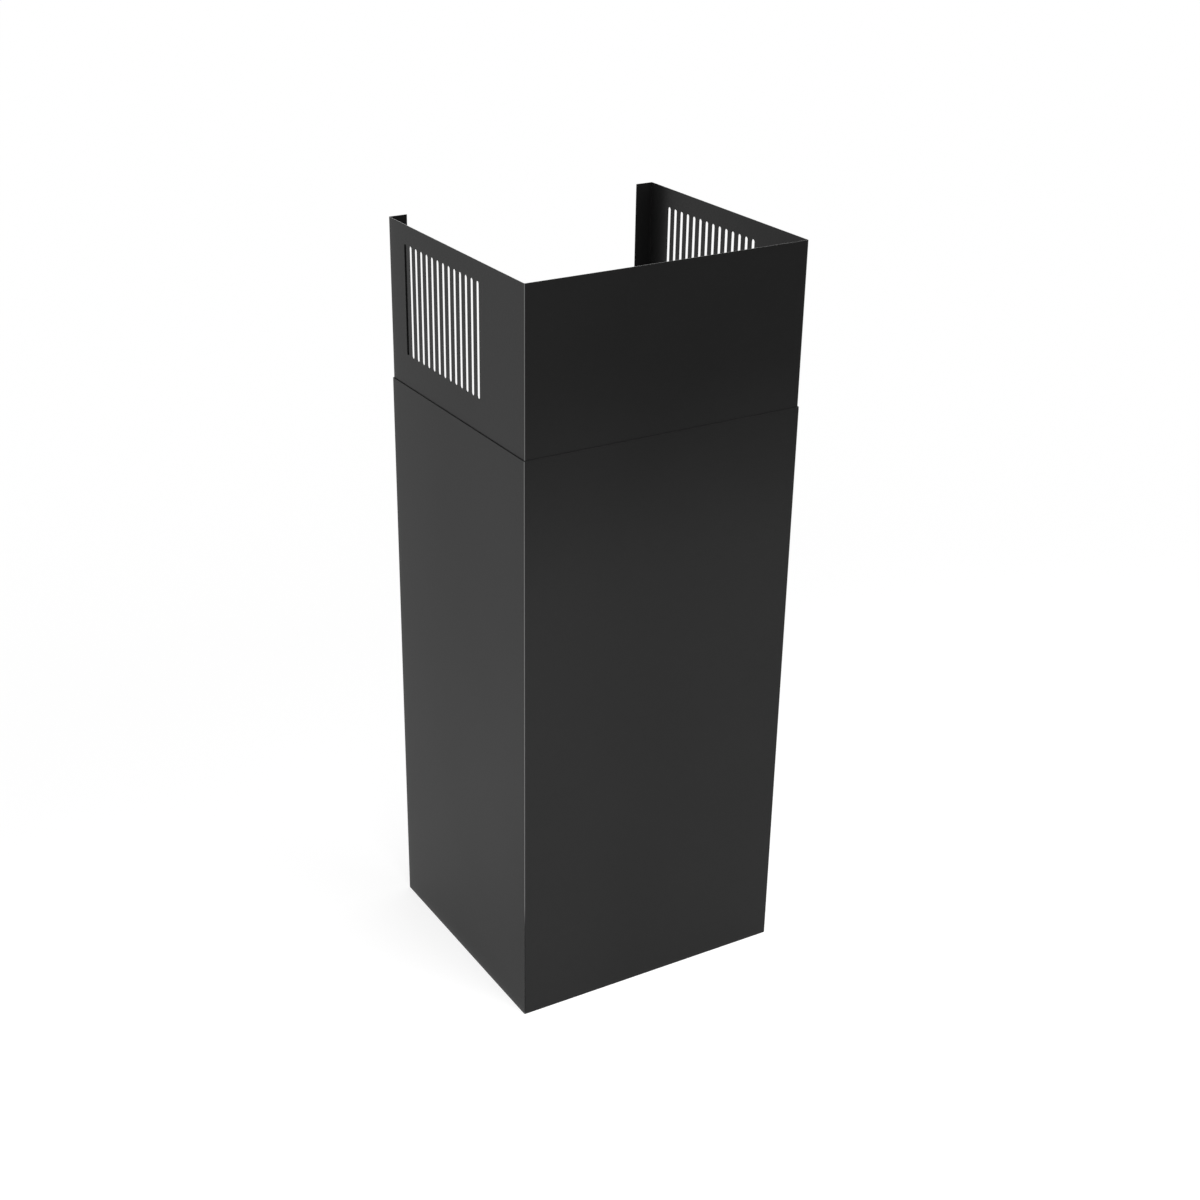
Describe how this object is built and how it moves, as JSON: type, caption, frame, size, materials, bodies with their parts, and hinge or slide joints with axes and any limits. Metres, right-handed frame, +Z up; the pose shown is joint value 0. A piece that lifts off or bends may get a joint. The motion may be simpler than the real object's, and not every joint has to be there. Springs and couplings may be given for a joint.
{
  "type": "cooker hood chimney section",
  "caption": "Open-backed telescopic chimney cover for a wall cooker hood: a vented upper section of folded sheet steel slides up out of a plain lower one.",
  "frame": {"origin": "middle of the base, at the level of the bottom edges of both sections", "axes": "+X to the right seen from the front, +Y towards the wall behind the open back, +Z up along the slide"},
  "size_m": [0.29, 0.26, 0.738],
  "materials": {
    "black_coat": "satin black coat on thin sheet steel"
  },
  "bodies": {
    "lower": {"lower_section": "black_coat"},
    "upper": {"upper_section": "black_coat"}
  },
  "joints": [
    {"name": "height_slide", "type": "slide", "parent": "lower", "child": "upper", "axis": [0, 0, 1], "range_m": [0, 0.52]}
  ]
}
